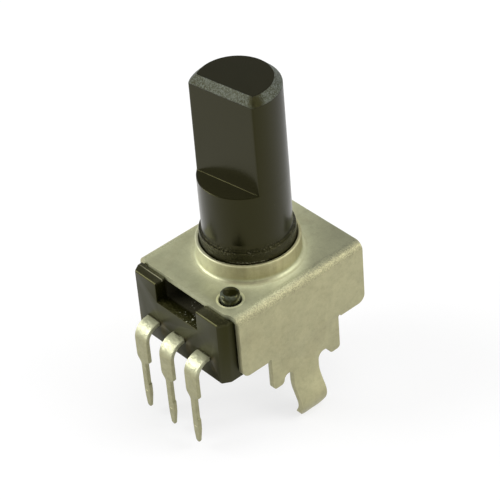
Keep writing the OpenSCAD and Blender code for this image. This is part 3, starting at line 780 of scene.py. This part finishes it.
def eye(name, x):
    """The rear half of the tongue's eye: a rounded section turned half round the rivet.

    Each point lies at the rivet's middle plus its own distance from there times (cos, sin).
    """
    angles = np.linspace(0, math.pi, 25)
    one = np.ones(1)
    across, through = section((-RIVET_R) * one, HALF * one, TERM_T * one, 0.04 * one, 2)
    radial, angle = across[0][None], angles[:, None]
    rows = np.stack([x + radial * np.cos(angle), RIVET_Y + radial * np.sin(angle),
                     TONGUE_Z + through[0][None] + 0 * angle], -1)
    return skin(name, rows, "case", [], TINNED)


for side_name, x in (("left", -PITCH), ("centre", 0.0), ("right", PITCH)):
    made = terminal("terminal_" + side_name + "_skin", x)
    eye("terminal_" + side_name + "_eye", x)
    print(made.name, len(made.data.polygons), "faces")


# %% [markdown]
# The cover and the housing have many small cut edges, and their solids are exact. So we copy
# those meshes, merge their loose triangles, and let a narrow bevel break every sharp edge,
# as the die and the mould do. Modelling them afresh would only lose exactness. The broken edges
# are what catches the light. The fillet at the collar's foot is made a little fuller too.

# %% Cover and housing with broken edges
# The foot's vertices are found by their place, to within NEAR, and an edge is broken where the
# surface turns by more than SHARP.
COLLAR_R, PLATE_H, CAD_FOOT, NEAR = 3.5, 7.5, 0.2, 0.01
FULLER, SHARP = 1.3, math.radians(32)


def fuller_foot(verts, growth):
    """Scales the fillet at the collar's foot by growth about the corner that it fills."""
    for vert in verts:
        r, z = math.hypot(vert.co.x, vert.co.y) / MM, vert.co.z / MM
        out, up = r - COLLAR_R, z - PLATE_H
        if -NEAR < out < CAD_FOOT + NEAR and -NEAR < up < CAD_FOOT + NEAR:
            wider = (COLLAR_R + out * growth) / r
            vert.co.x, vert.co.y = vert.co.x * wider, vert.co.y * wider
            vert.co.z = (PLATE_H + up * growth) * MM


def eased(node, finish, width):
    """A copy of a CAD node with its sharp edges broken by width millimetres."""
    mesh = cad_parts[node].data.copy()
    shell = bmesh.new()
    shell.from_mesh(mesh)
    bmesh.ops.remove_doubles(shell, verts=shell.verts, dist=1e-4 * MM)
    if node == "cover":
        fuller_foot(shell.verts, FULLER)
    bmesh.ops.dissolve_limit(shell, angle_limit=math.radians(0.5), verts=shell.verts,
                             edges=shell.edges)
    shell.to_mesh(mesh)
    shell.free()
    mesh.polygons.foreach_set("use_smooth", np.ones(len(mesh.polygons), bool))
    made = piece(node + "_skin", mesh, "case", [node], finish)
    bevel = made.modifiers.new("broken edges", "BEVEL")
    bevel.width = width * MM
    bevel.segments = 3
    bevel.limit_method = "ANGLE"
    bevel.angle_limit = SHARP
    bevel.use_clamp_overlap = True
    bevel.harden_normals = True
    bevel.miter_outer = "MITER_ARC"
    print(made.name, len(mesh.polygons), "faces before the bevel")


eased("cover", COVER, 0.035)
eased("housing", HOUSING, 0.03)

# %% [markdown]
# The locating peg catches the eye beside the collar, because its rounded rim mirrors the lamps
# and its top is dished by the ejector pin. A bevel as narrow as the housing's can't round its
# rim so far, so a finer turned skin lies over the moulded peg.

# %% Peg
# The profile goes up the side, round the rim and down into the dish. It is turned in 64 steps.
PEG_R, PEG_TOP, PEG_RIM = 0.652, 8.102, 0.17
peg_profile = [(PEG_R, 7.2), (PEG_R, 7.6), (PEG_R, 7.9)]
for sine, cosine in zip(*arc_steps(8)):
    peg_profile.append((PEG_R - PEG_RIM * (1 - cosine), PEG_TOP - PEG_RIM * (1 - sine)))
peg_profile += [(r, PEG_TOP - dip) for r, dip in
                ((0.45, 0.006), (0.43, 0.02), (0.4, 0.03), (0.2, 0.035))]
angles = np.linspace(0, 2 * math.pi, 64, endpoint=False)
peg_rings = np.array([np.stack([PEG[0] + r * np.cos(angles), PEG[1] + r * np.sin(angles),
                                np.full(len(angles), z)], -1) for r, z in peg_profile])
peg = skin("peg_skin", peg_rings, "case", [], HOUSING)
print("peg:", len(peg.data.polygons), "faces")

# %% [markdown]
# The light is a pale room: a floor, a world that is bright near the horizon and dimmer overhead,
# and three soft boxes. Brighter lamps could turn the background white too, but they would wash
# out the object. So the world is white for the camera's rays only, and the floor glows for
# those and for mirrored ones only, which leaves the light on the object alone and keeps its
# shadow. Behind the object the mirrored floor is dimmer, so that the shaft's sides stay dark,
# as they are on the real one.

# %% Floor
# The floor lies just under the lowest point, and reaches FLOOR_HALF metres to each side.
FLOOR_Z = cad_box[0][2] - 0.02 * MM
FLOOR_HALF = 3.0


def floor_look():
    """A grey that takes the shadow, and a glow that only the camera and mirrored rays see."""
    look = Look("floor")
    camera_ray, glossy_ray, clear_ray = (
        look.node("LightPath", out=kind + " Ray") for kind in
        ("Is Camera", "Is Glossy", "Is Transmission"))
    x, y = look.axes()[:2]
    behind = along(x, y, (-0.36, 0.93)).rise(8.0, 40.0)
    far = (x * x + y * y).rise(30.0 ** 2, 300.0 ** 2)
    seen = (camera_ray + glossy_ray * (1 - 0.6 * behind) + clear_ray).clamped()
    glow = look.node("Emission", {}, {"Color": (1, 1, 1, 1),
                                      "Strength": seen * (0.70 + 0.2 * far)})
    look.set(Base_Color=(0.25, 0.25, 0.25, 1), Roughness=0.9, Specular_IOR_Level=0.0)
    both = look.node("AddShader", {}, {0: Wire(look, look.shader.outputs[0]), 1: glow})
    look.feed(look.tree.nodes["Material Output"].inputs["Surface"], both)
    return look.material


corners = [(-1, -1), (1, -1), (1, 1), (-1, 1)]
mesh = bpy.data.meshes.new("floor")
mesh.from_pydata([(FLOOR_HALF * x, FLOOR_HALF * y, FLOOR_Z) for x, y in corners], [],
                 [(0, 1, 2, 3)])
mesh.materials.append(floor_look())
floor = bpy.data.objects.new("floor", mesh)
bpy.context.scene.collection.objects.link(floor)
print("floor at z =", round(FLOOR_Z / MM, 3), "mm")

# %% World
world = bpy.data.worlds.new("room")
bpy.context.scene.world = world
world.use_nodes = True


class Room(Look):
    """The world's own node tree, with the same tools as a material."""

    def __init__(self, made):
        self.material = made
        self.tree = made.node_tree
        self.shader = self.tree.nodes["Background"]
        self.place = self.node("TexCoord", out="Generated")


room = Room(world)
height = room.node("SeparateXYZ", {}, {0: room.place}, out="Z")
camera_ray = room.node("LightPath", out="Is Camera Ray")
light = 0.90 - 0.52 * height.rise(0.05, 0.5)
room.set(Color=(1, 1, 1, 1), Strength=camera_ray + (1 - camera_ray) * light)
print("world ready")

# %% Lamps
AIM = np.array([0, 0, 8]) * MM


def soft_box(name, toward, distance, size, power):
    """A square lamp in a direction from the object's middle, facing it. Metres and watts."""
    data = bpy.data.lights.new(name, "AREA")
    data.size = size
    data.energy = power
    lamp = bpy.data.objects.new(name, data)
    bpy.context.scene.collection.objects.link(lamp)
    z = np.array(toward) / np.linalg.norm(toward)
    x, y = level_axes(z)
    lamp.matrix_world = placed(x, y, z, AIM + distance * z)
    print(name, power, "W at", [round(c / MM) for c in lamp.matrix_world.translation], "mm")


soft_box("right_box", (0.624, 0.490, 0.609), 0.30, 0.16, 0.42)
soft_box("left_box", (-0.609, -0.624, 0.490), 0.30, 0.18, 0.80)
soft_box("top_box", (0.08, 0.38, 0.92), 0.45, 0.38, 0.92)

# %% [markdown]
# A view transform can bend every colour after the render. Standard leaves them about as they
# are written, so the plating and the plastics look right under other light too.

# %% View settings
bpy.context.scene.view_settings.view_transform = "Standard"
print("view transform:", bpy.context.scene.view_settings.view_transform)
